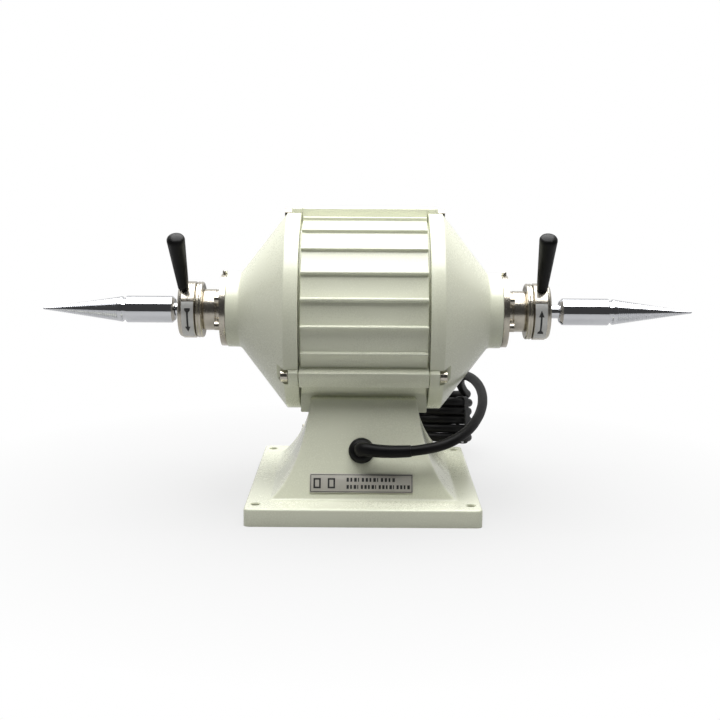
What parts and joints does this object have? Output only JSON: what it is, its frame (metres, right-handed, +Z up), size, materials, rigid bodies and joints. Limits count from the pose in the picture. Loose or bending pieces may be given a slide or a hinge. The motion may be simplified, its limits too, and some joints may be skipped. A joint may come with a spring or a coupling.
{
  "type": "polishing lathe",
  "caption": "Double-ended dental polishing lathe: finned motor on a cast pedestal, lever-operated quick-release chucks and tapered threaded spindles, mains lead with its slack coiled behind.",
  "frame": {"origin": "on the floor under the middle of the base plate, under the motor shaft", "axes": "+X along the motor shaft to the right-hand spindle, +Z up, +Y to the operator's side with the switch; the cable gland and label are on the -Y side"},
  "size_m": [0.5599, 0.3235, 0.2478],
  "materials": {
    "ivory_iron": "smooth semi-gloss ivory enamel on cast iron",
    "ivory_alloy": "smooth semi-gloss ivory enamel on cast alloy",
    "nickel_plate": "satin nickel plate",
    "polished_chrome": "mirror chrome",
    "plain_steel": "ground steel",
    "black_plastic": "moulded, slightly glossy",
    "black_rubber": "smooth rubber sheath",
    "label_foil": "satin foil with a dark border",
    "copper_wire": "varnished enamelled wire",
    "laminations": "varnished stacked laminations",
    "grey_plastic": "moulded"
  },
  "bodies": {
    "frame": {"base_casting": "ivory_iron", "bottom_cover": "plain_steel", "cord_coil": "black_rubber", "cord_gland": "black_plastic", "cord_tail": "black_rubber", "label_plate": "label_foil", "left_back_ring": "nickel_plate", "left_bearing": "plain_steel", "left_bell_screw_1": "nickel_plate", "left_bell_screw_2": "nickel_plate", "left_bell_screw_3": "nickel_plate", "left_end_bell": "ivory_alloy", "left_flange_screw_1": "nickel_plate", "left_flange_screw_2": "nickel_plate", "left_flange_screw_3": "nickel_plate", "left_flange_screw_4": "nickel_plate", "left_oil_screw": "nickel_plate", "left_sleeve_flange": "nickel_plate", "mains_plug": "black_plastic", "motor_housing": "ivory_alloy", "motor_mount_screw_1": "plain_steel", "motor_mount_screw_2": "plain_steel", "motor_mount_screw_3": "plain_steel", "motor_mount_screw_4": "plain_steel", "power_cord": "black_rubber", "preload_washer": "plain_steel", "right_back_ring": "nickel_plate", "right_bearing": "plain_steel", "right_bell_screw_1": "nickel_plate", "right_bell_screw_2": "nickel_plate", "right_bell_screw_3": "nickel_plate", "right_end_bell": "ivory_alloy", "right_flange_screw_1": "nickel_plate", "right_flange_screw_2": "nickel_plate", "right_flange_screw_3": "nickel_plate", "right_flange_screw_4": "nickel_plate", "right_oil_screw": "nickel_plate", "right_sleeve_flange": "nickel_plate", "run_capacitor": "grey_plastic", "stator_core": "laminations", "stator_winding": "copper_wire", "strain_relief": "black_rubber", "switch_body": "grey_plastic", "switch_plate": "black_plastic", "terminal_block": "grey_plastic"},
    "rotor": {"rotor_core": "laminations", "motor_shaft": "plain_steel", "left_collet": "plain_steel", "right_collet": "plain_steel"},
    "left_spindle": {"left_spindle": "polished_chrome"},
    "left_lever": {"left_lever_ring": "nickel_plate", "left_lever_stud": "plain_steel", "left_lever_handle": "black_plastic"},
    "left_closer": {"left_closer_sleeve": "plain_steel"},
    "right_spindle": {"right_spindle": "polished_chrome"},
    "right_lever": {"right_lever_ring": "nickel_plate", "right_lever_stud": "plain_steel", "right_lever_handle": "black_plastic"},
    "right_closer": {"right_closer_sleeve": "plain_steel"},
    "switch_knob": {"switch_knob": "black_plastic"}
  },
  "joints": [
    {"name": "rotor_spin", "type": "hinge", "parent": "frame", "child": "rotor", "pos_m": [0, 0, 0.16], "axis": [1, 0, 0], "continuous": true},
    {"name": "left_spindle_pull", "type": "slide", "parent": "rotor", "child": "left_spindle", "axis": [-1, 0, 0], "range_m": [0, 0.042]},
    {"name": "left_lever_turn", "type": "hinge", "parent": "frame", "child": "left_lever", "pos_m": [-0.15, 0, 0.16], "axis": [1, 0, 0], "range_deg": [0, 60]},
    {"name": "left_closer_slide", "type": "slide", "parent": "frame", "child": "left_closer", "axis": [1, 0, 0], "range_m": [0, 0.002]},
    {"name": "right_spindle_pull", "type": "slide", "parent": "rotor", "child": "right_spindle", "axis": [1, 0, 0], "range_m": [0, 0.042]},
    {"name": "right_lever_turn", "type": "hinge", "parent": "frame", "child": "right_lever", "pos_m": [0.15, 0, 0.16], "axis": [1, 0, 0], "range_deg": [-60, 0]},
    {"name": "right_closer_slide", "type": "slide", "parent": "frame", "child": "right_closer", "axis": [1, 0, 0], "range_m": [-0.002, 0]},
    {"name": "switch_turn", "type": "hinge", "parent": "frame", "child": "switch_knob", "pos_m": [0, 0.07132, 0.056], "axis": [0, 0.9349, 0.355], "range_deg": [-90, 0]}
  ],
  "couplings": [
    {"joint": "left_closer_slide", "follows": "left_lever_turn", "m_per_rad": 0.0019},
    {"joint": "right_closer_slide", "follows": "right_lever_turn", "m_per_rad": 0.0019}
  ]
}
